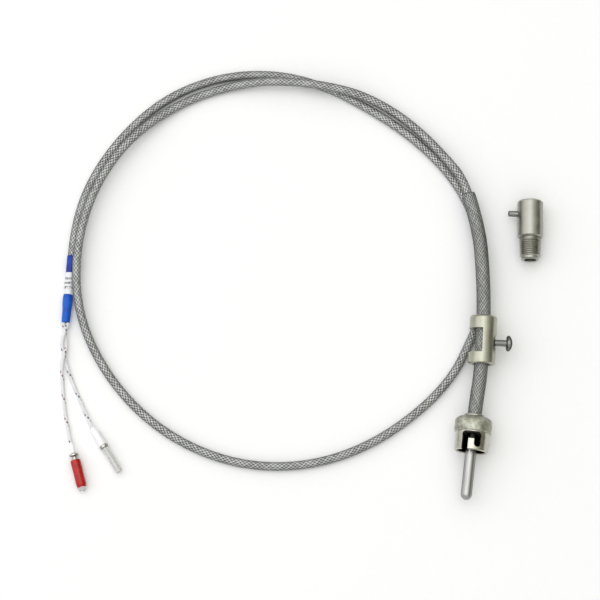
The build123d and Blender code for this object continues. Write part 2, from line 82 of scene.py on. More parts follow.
# Surroundings: grey by how nearly a direction points up, to the view's right, and at a patch overhead
HEIGHT_STOPS = (
    (-0.02, (0.26, 0.26, 0.26)),
    (0.10, (0.30, 0.30, 0.30)),
    (0.35, (0.74, 0.74, 0.74)),
    (0.70, (1.05, 1.05, 1.05)),
    (1.0, (1.12, 1.12, 1.12)),
)
SIDE_STOPS = (
    (-1.0, (0.30, 0.30, 0.29)),
    (-0.90, (0.90, 0.90, 0.89)),
    (0.15, (1.0, 1.0, 1.0)),
    (0.45, (0.78, 0.78, 0.71)),
    (0.80, (0.36, 0.36, 0.28)),
    (1.0, (0.20, 0.20, 0.15)),
)
PATCH_DIRECTION = (-0.02, 0.12, 1.0)
PATCH_STOPS = (
    (0.92, (0.0, 0.0, 0.0)),
    (0.98, (0.08, 0.08, 0.08)),
    (1.0, (0.12, 0.12, 0.12)),
)
SKY_STRENGTH = 1.06

# Softboxes: name, place, size and power
SOFTBOXES = (
    ("key_light", (-0.45, 0.18, 1.0), 1.1, 2.4),
    ("top_light", (-0.05, 0.15, 1.3), 1.0, 1.2),
    ("left_card", (-1.15, 0.05, 0.42), 0.9, 1.6),
)
FLOOR_REACH = 3.0

# Routes of the hose, the lead and the two wires: control points of their curves
HOSE_ROUTE = [
    (0.0, 0.006, 0.0),
    (0.0, 0.014, 0.0),
    (0.0008, 0.029, 0.0008),
    (-0.001, 0.058, 0.0026),
    (-0.0035, 0.077, 0.0015),
    (-0.007, 0.0965, -0.0009),
    (-0.0137, 0.1126, -0.001),
]
LEAD_ROUTE = [
    (-0.0137, 0.1126, -0.001),
    (-0.0169, 0.11955, -0.00103),
    (-0.0243, 0.1276, -0.0019),
    (-0.0396, 0.1418, -0.0051),
    (-0.057, 0.1522, -0.0054),
    (-0.077, 0.1572, -0.0015),
    (-0.109, 0.1578, -0.0018),
    (-0.134, 0.1526, -0.00645),
    (-0.1565, 0.1402, -0.00645),
    (-0.176, 0.119, -0.0019),
    (-0.1882, 0.0932, -0.0018),
    (-0.1918, 0.0648, -0.0019),
    (-0.1873, 0.0365, -0.0038),
    (-0.1738, 0.0126, -0.00645),
    (-0.1526, -0.008, -0.00645),
    (-0.1274, -0.0212, -0.00645),
    (-0.0998, -0.0264, -0.00645),
    (-0.072, -0.0228, -0.00645),
    (-0.0466, -0.0109, -0.00645),
    (-0.0252, 0.0077, -0.00645),
    (-0.0114, 0.0263, -0.00645),
    (-0.0056, 0.0425, -0.00645),
    (-0.0004, 0.0595, -0.00645),
    (-0.0016, 0.075, -0.00645),
    (-0.0048, 0.09, -0.00645),
    (-0.0102, 0.104, -0.00645),
    (-0.0178, 0.1166, -0.00645),
    (-0.028, 0.1274, -0.00645),
    (-0.0432, 0.139, -0.00645),
    (-0.0615, 0.1488, -0.00645),
    (-0.0842, 0.1582, -0.00645),
    (-0.1096, 0.1622, -0.00645),
    (-0.136, 0.1576, -0.00645),
    (-0.16, 0.1444, -0.00645),
    (-0.1782, 0.1235, -0.00645),
    (-0.1902, 0.0996, -0.00645),
    (-0.1945, 0.0768, -0.00605),
    (-0.1936, 0.0613, -0.00605),
]
TWIST_AXIS = [
    (-0.19176, 0.02955, -0.00605),
    (-0.19145, 0.0244, -0.00635),
    (-0.19085, 0.0192, -0.00655),
    (-0.19015, 0.014, -0.0066),
    (-0.1892, 0.0088, -0.0066),
]
TWIST_START_R = 0.00115
TWIST_R = 0.00135
POSITIVE_SPLAY = [
    (-0.1895, 0.003, -0.00765),
    (-0.1874, -0.0065, -0.00765),
    (-0.1848, -0.0155, -0.0076),
    (-0.1819, -0.0236, -0.007),
    (-0.17905, -0.0302, -0.0061),
]
NEGATIVE_SPLAY = [
    (-0.1856, 0.004, -0.00765),
    (-0.1812, -0.0034, -0.00765),
    (-0.1769, -0.0106, -0.0074),
    (-0.1724, -0.0173, -0.00642),
]

# Braids: strips in each hand, pitch of one turn, radius of the strips' middle, how far they ride over and
# dip under, their width and thickness, and how far the radius falls in at the far end
Braid = namedtuple("Braid", "carriers pitch radius wave width thickness drop", defaults=(0.0,))
HOSE_BRAID = Braid(16, 0.0300, 0.00311, 0.00008, 0.00076, 0.00014, 0.0005)
LEAD_BRAID = Braid(8, 0.0160, 0.00185, 0.00009, 0.00090, 0.00013)
WIRE_BRAID = Braid(6, 0.0110, 0.00070, 0.00003, 0.00064, 0.00010)
BRAID_END_LENGTH = 0.0014
STRIP_ACROSS = (-0.5, -0.27, 0.27, 0.5, 0.0)
STRIP_RISE = (0.0, 0.5, 0.5, 0.0, -0.5)
LEAD_CORE_R = 0.00172
WIRE_CORE_R = 0.00066
LINING_R = 0.00300
LINING_BORE_R = 0.00250

# Thin tube on the positive wire, the sleeve's darker upper part (painted shade), and where the marker's
# rings are along it
WIRE_BOOT_R = 0.00095
WIRE_BOOT_LENGTH = 0.0055
SHADED_BLUE_LENGTH = 0.012
MARK_START = 0.0112
MARK_SPACING = 0.0021
MARK_COUNT = 3

# Directions and places of the metal parts
POSITIVE_AXIS = (0.383, -0.924, 0.0)
NEGATIVE_AXIS = (0.635, -0.7725, 0.0)
ADAPTER_TURN = radians(5.5)
# Stem colour fades to nearly black past this level, over this length: painted shade inside the cap
STEM_SHADE_Y = -8.6 * MM
STEM_SHADE_FADE = 2 * MM
CAP_CAST_Y = (0.4 * MM, 1.1 * MM)
# Radii over which the cap's bore fades to nearly black: painted shade
CAP_BORE_SHADE_FADE = (6.42 * MM, 6.36 * MM)

# Thrust spring
SPRING_WIRE_R = 0.00035
SPRING_MEAN_R = 0.0051
SPRING_TURNS = 4.0
SPRING_CLOSED_TURNS = 0.8
SPRING_GAP = 0.00002
SPRING_STEPS = 260


# ---------------------------------------------------------------- camera, light and floor


def aim_camera():
    """Camera above the part, looking steeply down."""
    right = Vector((cos(VIEW_TURN), sin(VIEW_TURN), 0))
    ahead = Vector((-sin(VIEW_TURN), cos(VIEW_TURN), 0))
    back = -cos(VIEW_ELEVATION) * ahead + sin(VIEW_ELEVATION) * Vector((0, 0, 1))
    up = sin(VIEW_ELEVATION) * ahead + cos(VIEW_ELEVATION) * Vector((0, 0, 1))
    camera = bpy.data.objects.new("camera", bpy.data.cameras.new("camera"))
    camera.data.sensor_width = SENSOR_MM
    camera.data.lens = SENSOR_MM * VIEW_DISTANCE / VIEW_WIDTH
    camera.data.clip_start = CLIP_START
    turn = Matrix((right, up, back)).transposed().to_4x4()
    target = Vector((*VIEW_TARGET, FLOOR_Z))
    camera.matrix_world = Matrix.Translation(target + VIEW_DISTANCE * back) @ turn
    bpy.context.scene.collection.objects.link(camera)
    bpy.context.scene.camera = camera


def softbox(name, place, size, power):
    """Square area light that faces the middle of the view."""
    light = bpy.data.lights.new(name, "AREA")
    light.size = size
    light.energy = power
    lamp = bpy.data.objects.new(name, light)
    lamp.location = place
    towards = Vector((*VIEW_TARGET, FLOOR_Z)) - Vector(place)
    lamp.rotation_euler = towards.to_track_quat("-Z", "Y").to_euler()
    bpy.context.scene.collection.objects.link(lamp)


def sky(nodes, links):
    """Radiance of the surroundings: soft overhead, dim towards the horizon, and dimmer on the right."""
    direction = nodes.new("ShaderNodeTexCoord").outputs["Generated"]

    def towards(vector, stops):
        """Grey by how nearly a direction points along a vector."""
        dot = nodes.new("ShaderNodeVectorMath")
        dot.operation = "DOT_PRODUCT"
        dot.inputs[1].default_value = vector
        links.new(direction, dot.inputs[0])
        halved = nodes.new("ShaderNodeMapRange")
        halved.inputs["From Min"].default_value = -1
        links.new(dot.outputs["Value"], halved.inputs["Value"])
        node = nodes.new("ShaderNodeValToRGB")
        elements = node.color_ramp.elements
        elements[0].position = (stops[0][0] + 1) / 2
        elements[-1].position = (stops[-1][0] + 1) / 2
        for place, _ in stops[1:-1]:
            elements.new((place + 1) / 2)
        for element, (_, colour) in zip(elements, stops):
            element.color = (*colour, 1)
        links.new(halved.outputs["Result"], node.inputs["Fac"])
        return node.outputs["Color"]

    def combine(kind, first, second):
        """Sum or product of two greys."""
        mix = nodes.new("ShaderNodeMix")
        mix.data_type = "RGBA"
        mix.blend_type = kind
        mix.clamp_result = False
        mix.inputs["Factor"].default_value = 1
        links.new(first, mix.inputs[6])
        links.new(second, mix.inputs[7])
        return mix.outputs[2]

    height = towards((0, 0, 1), HEIGHT_STOPS)
    side = towards((cos(VIEW_TURN), sin(VIEW_TURN), 0), SIDE_STOPS)
    patch = towards(tuple(Vector(PATCH_DIRECTION).normalized()), PATCH_STOPS)
    return combine("ADD", combine("MULTIPLY", height, side), patch)


def studio():
    """Soft sky, three softboxes, and a plain pale floor."""
    scene = bpy.context.scene
    scene.view_settings.view_transform = "Standard"
    world = bpy.data.worlds.new("studio")
    world.use_nodes = True
    scene.world = world
    nodes, links = world.node_tree.nodes, world.node_tree.links
    links.new(sky(nodes, links), nodes["Background"].inputs["Color"])
    nodes["Background"].inputs["Strength"].default_value = SKY_STRENGTH
    for name, place, size, power in SOFTBOXES:
        softbox(name, place, size, power)
    floor_mesh = bpy.data.meshes.new("floor")
    reach = FLOOR_REACH
    corners = [(-reach, -reach), (reach, -reach), (reach, reach), (-reach, reach)]
    floor_mesh.from_pydata([(x, y, FLOOR_Z) for x, y in corners], [], [(0, 1, 2, 3)])
    floor = bpy.data.objects.new("floor", floor_mesh)
    scene.collection.objects.link(floor)
    shade = Shade("floor_paper")
    shade.set(Roughness=0.9)
    grain = shade.noise(900, detail=2)
    shade.colour(grain, (0.89, 0.89, 0.895), (0.92, 0.92, 0.925))
    floor_mesh.materials.append(shade.material)


# ---------------------------------------------------------------- materials


class Shade:
    """A material on one Principled shader, with short calls for the textures that drive it."""

    def __init__(self, name):
        self.material = bpy.data.materials.new(name)
        self.material.use_nodes = True
        self.nodes = self.material.node_tree.nodes
        self.links = self.material.node_tree.links
        self.shader = self.nodes["Principled BSDF"]
        self.normal = None

    def set(self, **values):
        """Fixed values on the shader's sockets."""
        for name, value in values.items():
            self.shader.inputs[name.replace("_", " ")].default_value = value
        return self

    def place(self, stretch=(1, 1, 1), turn=0.0):
        """Object coordinates, turned about the vertical and then stretched."""
        coordinates = self.nodes.new("ShaderNodeTexCoord")
        turned = self.nodes.new("ShaderNodeMapping")
        turned.inputs["Rotation"].default_value = (0, 0, -turn)
        scaled = self.nodes.new("ShaderNodeMapping")
        scaled.inputs["Scale"].default_value = stretch
        self.links.new(coordinates.outputs["Object"], turned.inputs["Vector"])
        self.links.new(turned.outputs["Vector"], scaled.inputs["Vector"])
        return scaled.outputs["Vector"]

    def noise(self, scale, stretch=(1, 1, 1), turn=0.0, detail=4, rough=0.55):
        """Cloudy value from 0 to 1."""
        node = self.nodes.new("ShaderNodeTexNoise")
        node.inputs["Scale"].default_value = scale
        node.inputs["Detail"].default_value = detail
        node.inputs["Roughness"].default_value = rough
        self.links.new(self.place(stretch, turn), node.inputs["Vector"])
        return node.outputs["Fac"]

    def cells(self, scale):
        """Distance from scattered points."""
        node = self.nodes.new("ShaderNodeTexVoronoi")
        node.inputs["Scale"].default_value = scale
        self.links.new(self.place(), node.inputs["Vector"])
        return node.outputs["Distance"]

    def along(self, axis):
        """One of the object coordinates, by its letter."""
        coordinates = self.nodes.new("ShaderNodeTexCoord")
        split = self.nodes.new("ShaderNodeSeparateXYZ")
        self.links.new(coordinates.outputs["Object"], split.inputs["Vector"])
        return split.outputs[axis]

    def attribute(self, name):
        """Value stored on the mesh."""
        node = self.nodes.new("ShaderNodeAttribute")
        node.attribute_name = name
        return node.outputs["Fac"]

    def maths(self, operation, first, second=0.0):
        """One sum on two values, each a number or a socket."""
        node = self.nodes.new("ShaderNodeMath")
        node.operation = operation
        for socket, value in zip(node.inputs, (first, second)):
            if isinstance(value, (int, float)):
                socket.default_value = value
            else:
                self.links.new(value, socket)
        return node.outputs["Value"]

    def fit(self, value, low, high, out_low=0.0, out_high=1.0):
        """Value carried from one range to another."""
        node = self.nodes.new("ShaderNodeMapRange")
        limits = (low, high, out_low, out_high)
        for name, limit in zip(("From Min", "From Max", "To Min", "To Max"), limits):
            node.inputs[name].default_value = limit
        self.links.new(value, node.inputs["Value"])
        return node.outputs["Result"]

    def blend(self, value, first, second):
        """Colour between two, each a triple or a socket."""
        node = self.nodes.new("ShaderNodeMix")
        node.data_type = "RGBA"
        self.links.new(value, node.inputs["Factor"])
        for socket, colour in ((node.inputs[6], first), (node.inputs[7], second)):
            if isinstance(colour, tuple):
                socket.default_value = (*colour, 1)
            else:
                self.links.new(colour, socket)
        return node.outputs[2]

    def colour(self, value, first, second):
        """Base colour between two."""
        self.links.new(self.blend(value, first, second), self.shader.inputs["Base Color"])
        return self

    def roughness(self, value, low, high):
        """Roughness between two values, following a texture."""
        self.links.new(self.fit(value, 0.25, 0.75, low, high), self.shader.inputs["Roughness"])
        return self

    def bump(self, value, height, strength):
        """Relief of a height in metres, over any relief given before."""
        node = self.nodes.new("ShaderNodeBump")
        node.inputs["Strength"].default_value = strength
        node.inputs["Distance"].default_value = height
        self.links.new(value, node.inputs["Height"])
        if self.normal is not None:
            self.links.new(self.normal, node.inputs["Normal"])
        self.normal = node.outputs["Normal"]
        self.links.new(self.normal, self.shader.inputs["Normal"])
        return self


# Dark tint on reflections at grazing angles: painted shade on the edges of the braids
DARK_RIM = (0.03, 0.03, 0.03, 1)


def plated_metal(name, light, dark, low=0.24, high=0.40, turn=0.0, mottle=1.0):
    """Nickel plate over turned brass: fine rings across the axis, soft cloudy stains, small pits."""
    shade = Shade(name)
    shade.set(Metallic=1.0)
    lines = shade.noise(2600, stretch=(0.02, 1, 0.02), turn=turn, detail=2)
    clouds = shade.noise(260, turn=turn, detail=6, rough=0.65)
    specks = shade.cells(1500)
    shade.colour(shade.fit(clouds, 0.3, 0.7), dark, light)
    shade.roughness(clouds, low, high)
    shade.bump(lines, 6e-6, 0.5)
    shade.bump(clouds, 4e-5 * mottle, 0.35)
    shade.bump(shade.fit(specks, 0.0, 0.25), 1e-5 * mottle, 0.4)
    return shade.material


def cap_metal(name):
    """Nickel cap: mottled grey on the band, polished on the skirt, and nearly black inside the bore, which
    is painted shade.
    """
    shade = Shade(name)
    shade.set(Metallic=1.0)
    clouds = shade.noise(420, detail=6, rough=0.7)
    specks = shade.cells(900)
    upper = shade.fit(shade.along("Y"), *CAP_CAST_Y)
    across = shade.maths("POWER", shade.along("X"), 2.0)
    deep = shade.maths("POWER", shade.along("Z"), 2.0)
    radius = shade.maths("SQRT", shade.maths("ADD", across, deep))
    polished = shade.blend(shade.fit(clouds, 0.3, 0.7), (0.46, 0.45, 0.38), (0.58, 0.57, 0.50))
    cast = shade.blend(shade.fit(clouds, 0.38, 0.62), (0.27, 0.28, 0.21), (0.58, 0.585, 0.51))
    outer = shade.blend(upper, polished, cast)
    # The bore is coloured nearly black by its distance from the axis: painted shade
    shade.colour(shade.fit(radius, *CAP_BORE_SHADE_FADE), outer, (0.015, 0.015, 0.014))
    grey = shade.maths("MULTIPLY", upper, 0.26)
    rough = shade.maths("ADD", grey, shade.fit(clouds, 0.25, 0.75, 0.22, 0.34))
    shade.links.new(rough, shade.shader.inputs["Roughness"])
    shade.bump(clouds, 7e-5, 0.35)
    shade.bump(shade.fit(specks, 0.0, 0.25), 2e-5, 0.4)
    return shade.material


def brushed_steel(name, light, dark, stretch, low=0.18, high=0.34, rim=0.25, shade_past=None):
    """Drawn steel with fine streaks. rim is its reflection at grazing angles; kept low, it paints shade on
    the edges. Past a level along Y it is nearly black: painted shade inside the cap.
    """
    shade = Shade(name)
    shade.set(Metallic=1.0, Specular_Tint=(rim, rim, rim, 1))
    streaks = shade.noise(2200, stretch=stretch, detail=3)
    clouds = shade.noise(180, detail=4)
    plain = shade.blend(shade.fit(streaks, 0.3, 0.7), dark, light)
    # Nearly black past a level along Y: painted shade inside the cap
    if shade_past:
        shade_mask = shade.fit(shade.along("Y"), shade_past, shade_past + STEM_SHADE_FADE)
        shade.colour(shade_mask, plain, tuple(0.06 * part for part in dark))
    else:
        shade.links.new(plain, shade.shader.inputs["Base Color"])
    shade.roughness(clouds, low, high)
    shade.bump(streaks, 5e-6, 0.5)
    return shade.material


def braid_metal(name, light, dark, wires):
    """Flat bundle of fine parallel wires, bright where a strip rides over and darker where it dips under
    and on its edges: painted shade, with cloudy patches of real tone.
    """
    shade = Shade(name)
    shade.set(Metallic=0.9, Specular_Tint=DARK_RIM)
    ridges = shade.maths("SINE", shade.maths("MULTIPLY", shade.attribute("across"), 2 * pi * wires))
    patches = shade.noise(700, detail=4)
    off_middle = shade.maths("ABSOLUTE", shade.attribute("across"))
    # Painted shade: darker on the strip's edges and where the tone dips under
    lift = shade.maths("SUBTRACT", shade.attribute("tone_and_shade"), shade.fit(off_middle, 0.3, 0.5, 0.0, 0.5))
    mix = shade.maths("ADD", shade.maths("MULTIPLY", lift, 0.75), shade.maths("MULTIPLY", patches, 0.35))
    shade.colour(shade.fit(mix, 0.25, 0.8), dark, light)
    shade.roughness(patches, 0.26, 0.42)
    shade.bump(ridges, 2.5e-5, 0.7)
    return shade.material


def shaded_core(name):
    """What shows between the strips of a braid, nearly black: painted shade in the gaps."""
    shade = Shade(name)
    shade.set(Roughness=0.8)
    grain = shade.noise(1500, detail=3)
    shade.colour(grain, (0.030, 0.031, 0.030), (0.075, 0.077, 0.074))
    shade.bump(grain, 3e-5, 0.6)
    return shade.material


def fibre(name, light, dark):
    """Glass-fibre yarn: matt, with fine filaments along the strip."""
    shade = Shade(name)
    shade.set(Roughness=0.62, Sheen_Weight=0.25)
    across = shade.attribute("across")
    filaments = shade.maths("SINE", shade.maths("MULTIPLY", across, 2 * pi * 4))
    fuzz = shade.noise(2400, detail=4)
    shade.colour(shade.fit(fuzz, 0.3, 0.7), dark, light)
    shade.bump(filaments, 1.6e-5, 0.6)
    shade.bump(fuzz, 2e-5, 0.5)
    return shade.material


def soft_shade(name, light, dark, low, high, coat, scale=500, shine=0.5):
    """Shade of a shrunk or moulded plastic: slow colour change, faint ripples."""
    shade = Shade(name)
    shade.set(Coat_Weight=coat, Coat_Roughness=0.12, Specular_IOR_Level=shine)
    clouds = shade.noise(scale, detail=3)
    ripples = shade.noise(scale * 2.4, detail=3)
    shade.colour(shade.fit(clouds, 0.3, 0.7), dark, light)
    shade.roughness(clouds, low, high)
    shade.bump(ripples, 2e-5, 0.5)
    return shade


def soft_plastic(*values, **named):
    """Material of a shrunk or moulded plastic."""
    return soft_shade(*values, **named).material


def ring_marked_plastic(name, light, dark, ink):
    """White marker tube with plain printed rings round its middle."""
    shade = soft_shade(name, light, dark, 0.35, 0.5, 0.1, 300)
    start, ahead = sleeve_axis()
    reach = ahead.normalized()
    along = shade.nodes.new("ShaderNodeVectorMath")
    along.operation = "DOT_PRODUCT"
    along.inputs[1].default_value = reach
    place = shade.nodes.new("ShaderNodeTexCoord")
    shade.links.new(place.outputs["Object"], along.inputs[0])
    distance = shade.maths("SUBTRACT", along.outputs["Value"], start.dot(reach) + MARK_START)
    turns = shade.maths("DIVIDE", distance, MARK_SPACING)
    off_ring = shade.maths("ABSOLUTE", shade.maths("SUBTRACT", turns, shade.maths("ROUND", turns)))
    ring = shade.fit(off_ring, 0.25, 0.32, 1.0, 0.0)
    off_middle = shade.maths("ABSOLUTE", shade.maths("SUBTRACT", turns, (MARK_COUNT - 1) / 2))
    inside = shade.maths("LESS_THAN", off_middle, MARK_COUNT / 2)
    worn = shade.fit(shade.noise(1300, detail=3), 0.35, 0.6)
    printed = shade.maths("MULTIPLY", shade.maths("MULTIPLY", ring, inside), worn)
    plain = shade.shader.inputs["Base Color"].links[0].from_socket
    shade.colour(printed, plain, ink)
    return shade.material


def clear_plastic(name, light, dark, weight):
    """Translucent vinyl or plastic with slight haze."""
    shade = Shade(name)
    shade.set(Transmission_Weight=weight, IOR=1.45)
    clouds = shade.noise(600, detail=3)
    shade.colour(shade.fit(clouds, 0.3, 0.7), dark, light)
    shade.roughness(clouds, 0.08, 0.22)
    shade.bump(clouds, 2.5e-5, 0.5)
    return shade.material


def baked_ceramic(name):
    """Fired ceramic, matt and off-white."""
    shade = Shade(name)
    shade.set(Roughness=0.6)
    grain = shade.noise(1800, detail=5)
    shade.colour(grain, (0.72, 0.70, 0.64), (0.86, 0.85, 0.80))
    shade.bump(grain, 1e-5, 0.5)
    return shade.material


# ---------------------------------------------------------------- mesh building


class Strips:
    """Lofted strips gathered into one mesh, with a place across each strip and a tone for each, which on
    braids holds painted shade.
    """

    def __init__(self):
        self.points = []
        self.faces = []
        self.across = []
        self.tone_and_shade = []
        self.slots = []

    def add(self, rings, across, tone_and_shade=0.5, slot=0):
        """rings is (rings, section points, 3). across has a value per section point, tone (with any painted
        shade) one per ring.
        """
        count, size, _ = rings.shape
        base = len(self.points)
        self.points.extend(rings.reshape(-1, 3).tolist())
        self.across.extend(list(across) * count)
        self.tone_and_shade.extend(np.repeat(np.broadcast_to(tone_and_shade, (count,)), size).tolist())
        start = base + size * np.arange(count - 1)[:, None]
        near = np.arange(size)[None, :]
        far = (near + 1) % size
        quads = np.stack([start + near, start + far, start + size + far, start + size + near], axis=-1)
        self.faces.extend(quads.reshape(-1, 4).tolist())
        self.faces.append(list(range(base + size - 1, base - 1, -1)))
        self.faces.append(list(range(base + (count - 1) * size, base + count * size)))
        self.slots.extend([slot] * ((count - 1) * size + 2))

    def finish(self, name, materials):
        """The gathered strips as one object."""
        mesh = bpy.data.meshes.new(name)
        mesh.from_pydata(self.points, [], self.faces)
        for material in materials:
            mesh.materials.append(material)
        mesh.polygons.foreach_set("material_index", self.slots)
        mesh.polygons.foreach_set("use_smooth", [True] * len(self.faces))
        for label, values in (("across", self.across), ("tone_and_shade", self.tone_and_shade)):
            layer = mesh.attributes.new(label, "FLOAT", "POINT")
            layer.data.foreach_set("value", values)
        mesh.update()
        piece = bpy.data.objects.new(name, mesh)
        bpy.context.scene.collection.objects.link(piece)
        return piece


def unit(rows):
    """Rows scaled to length one."""
    return rows / np.linalg.norm(rows, axis=-1, keepdims=True)


def centreline(name, points, step):
    """Evenly spaced points of the NURBS spline that has the route's points as control points."""
    curve = bpy.data.curves.new(name, "CURVE")
    curve.dimensions = "3D"
    curve.resolution_u = 48
    spline = curve.splines.new("NURBS")
    spline.points.add(len(points) - 1)
    for point, place in zip(spline.points, points):
        point.co = (*place, 1)
    spline.order_u = 3
    spline.use_endpoint_u = True
    carrier = bpy.data.objects.new(name, curve)
    mesh = bpy.data.meshes.new_from_object(carrier)
    raw = np.array([vertex.co for vertex in mesh.vertices], float)
    bpy.data.meshes.remove(mesh)
    bpy.data.objects.remove(carrier)
    bpy.data.curves.remove(curve)
    lengths = np.concatenate([[0], np.cumsum(np.linalg.norm(np.diff(raw, axis=0), axis=1))])
    wanted = np.linspace(0, lengths[-1], ceil(lengths[-1] / step) + 1)
    return np.column_stack([np.interp(wanted, lengths, raw[:, axis]) for axis in range(3)])


def travel(line):
    """Distance along a line at each of its points."""
    return np.concatenate([[0], np.cumsum(np.linalg.norm(np.diff(line, axis=0), axis=1))])


def frames(line):
    """Tangent, side and up directions carried along a line without twisting."""
    ahead = unit(np.gradient(line, axis=0))
    side = np.cross(ahead[0], (0, 0, 1))
    sides = []
    for direction in ahead:
        side = side - direction * np.dot(side, direction)
        side = side / np.linalg.norm(side)
        sides.append(side)
    sides = np.array(sides)
    return ahead, sides, np.cross(sides, ahead)


def rounded_end(distance, total, length, drop):
    """How far a braid's radius falls in over its last stretch, as a quarter ellipse."""
    into = np.clip((distance - (total - length)) / length, 0, 1)
    return drop * (1 - np.sqrt(1 - into ** 2 * 0.999))


def braid_line(name, route, braid):
    """Centreline with four steps to each crossing of a braid."""
    return centreline(name, route, braid.pitch / (4 * braid.carriers))


def braid_hand(strips, line, hand, braid, tones=None, slots=None):
    """All the strips of one hand of a braid. Strips of the other hand pass under where these pass over.
    Each strip's tone mixes its own random tone with painted shade, lighter where it rides over and darker
    where it dips under.
    """
    ahead, side, up = frames(line)
    distance = travel(line)
    fall = rounded_end(distance, distance[-1], BRAID_END_LENGTH, braid.drop) if braid.drop else 0
    crossing = np.cos(2 * pi * braid.carriers * distance / braid.pitch)
    reach = (braid.radius - fall + hand * braid.wave * crossing)[:, None]
    for carrier in range(braid.carriers):
        angle = 2 * pi * carrier / braid.carriers + hand * 2 * pi * distance / braid.pitch
        out = np.cos(angle)[:, None] * side + np.sin(angle)[:, None] * up
        centre = line + reach * out
        forward = unit(np.gradient(centre, axis=0))
        flat = unit(np.cross(out, forward))
        rise = unit(np.cross(forward, flat))
        section = [
            centre + across * braid.width * flat + lift * braid.thickness * rise
            for across, lift in zip(STRIP_ACROSS, STRIP_RISE)
        ]
        own = tones[carrier] if tones else 0.5
        # Tone: lighter riding over, darker dipping under (painted shade), plus the strip's own random tone
        tone_and_shade = np.clip(0.5 + 0.38 * hand * crossing + 0.3 * (own - 0.5), 0, 1)
        slot = slots[carrier] if slots else 0
        strips.add(np.stack(section, axis=1), STRIP_ACROSS, tone_and_shade, slot)


def round_bar(strips, line, radius, sides, slot=0):
    """Solid round cord of one radius, or of one for each point."""
    ahead, side, up = frames(line)
    radii = np.broadcast_to(radius, (len(line),))[:, None]
    section = []
    for index in range(sides):
        angle = 2 * pi * index / sides
        section.append(line + radii * (cos(angle) * side + sin(angle) * up))
    strips.add(np.stack(section, axis=1), [0.0] * sides, slot=slot)


def turned(name, start, direction, outline, material, sides, ripple):
    """Closed shape turned about an axis, from (radius, place along) pairs in mm, with softened edges."""
    ahead = Vector(direction).normalized()
    side = ahead.cross(Vector((0, 0, 1))).normalized()
    up = side.cross(ahead)
    points, faces, rings = [], [], []
    for radius, along in [(radius * MM, along * MM) for radius, along in outline]:
        if radius == 0:
            rings.append([len(points)])
            points.append(Vector(start) + ahead * along)
            continue
        ring = []
        for step in range(sides):
            angle = 2 * pi * step / sides
            swell = 1 + ripple * sin(3 * angle + 1900 * along) * cos(2 * angle - 1300 * along)
            ring.append(len(points))
            out = cos(angle) * side + sin(angle) * up
            points.append(Vector(start) + ahead * along + radius * swell * out)
        rings.append(ring)
    closed = len(rings[0]) > 1
    pairs = list(zip(rings, rings[1:] + rings[:1])) if closed else list(zip(rings, rings[1:]))
    for first, second in pairs:
        for step in range(sides):
            following = (step + 1) % sides
            near = [first[step % len(first)], first[following % len(first)]]
            far = [second[following % len(second)], second[step % len(second)]]
            face = list(dict.fromkeys(near + far))
            if len(face) > 2:
                faces.append(face)
    mesh = bpy.data.meshes.new(name)
    mesh.from_pydata([tuple(point) for point in points], [], faces)
    mesh.materials.append(material)
    mesh.polygons.foreach_set("use_smooth", [True] * len(faces))
    piece = bpy.data.objects.new(name, mesh)
    bpy.context.scene.collection.objects.link(piece)
    recalculate(mesh)
    soften = piece.modifiers.new("soften", "BEVEL")
    soften.width = 0.08 * MM
    soften.segments = 3
    soften.limit_method = "ANGLE"
    soften.angle_limit = radians(28)
    return piece


def recalculate(mesh):
    """Makes every face point outwards."""
    work = bmesh.new()
    work.from_mesh(mesh)
    bmesh.ops.recalc_face_normals(work, faces=work.faces)
    work.to_mesh(mesh)
    work.free()


# ---------------------------------------------------------------- cords


def tones(count, seed):
    """Random tone for each strip."""
    return list(np.random.default_rng(seed).uniform(0.0, 1.0, count))


def make_hose(metal, core):
    """Armour hose: a fine steep braid over a dark hollow core, its end turned in."""
    line = braid_line("hose_line", HOSE_ROUTE, HOSE_BRAID)
    strips = Strips()
    for hand, seed in ((1, 3), (-1, 4)):
        braid_hand(strips, line, hand, HOSE_BRAID, tones(HOSE_BRAID.carriers, seed))
    hose = strips.finish("armour_hose_braid", [metal])
    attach(hose, "probe")
    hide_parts("armour_hose")
    lining = make_lining(line, core)
    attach(lining, "probe")


def make_lining(line, core):
    """Hollow tube under the hose's braid, open at the mouth."""
    ahead, side, up = frames(line)
    sides, stride = 28, 4
    stop = len(line) - 2 * stride
    rings = []
    walls = ((LINING_R, range(0, stop, stride)), (LINING_BORE_R, range(stop - 1, -1, -stride)))
    for radius, places in walls:
        for place in places:
            ring = []
            for index in range(sides):
                angle = 2 * pi * index / sides
                out = cos(angle) * side[place] + sin(angle) * up[place]
                ring.append(line[place] + radius * out)
            rings.append(ring)
    rings.append(rings[0])
    strips = Strips()
    strips.add(np.array(rings), [0.0] * sides)
    lining = strips.finish("hose_lining", [core])
    work = bmesh.new()
    work.from_mesh(lining.data)
    for face in [face for face in work.faces if len(face.verts) == sides]:
        work.faces.remove(face)
    bmesh.ops.remove_doubles(work, verts=work.verts, dist=1e-7)
    bmesh.ops.recalc_face_normals(work, faces=work.faces)
    work.to_mesh(lining.data)
    work.free()
    return lining


def make_lead(metal, core):
    """Lead: a braid over a dark core, each hand of the braid a piece of its own."""
    line = braid_line("lead_line", LEAD_ROUTE, LEAD_BRAID)
    right, left = Strips(), Strips()
    braid_hand(right, line, 1, LEAD_BRAID, tones(LEAD_BRAID.carriers, 7))
    round_bar(right, line[::2], LEAD_CORE_R, 16, slot=1)
    lead = right.finish("lead_braid_right_hand", [metal, core])
    braid_hand(left, line, -1, LEAD_BRAID, tones(LEAD_BRAID.carriers, 8))
    crossing = left.finish("lead_braid_left_hand", [metal])
    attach(lead, "probe")
    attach(crossing, "probe")
    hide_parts("lead_braid", "lead_core")


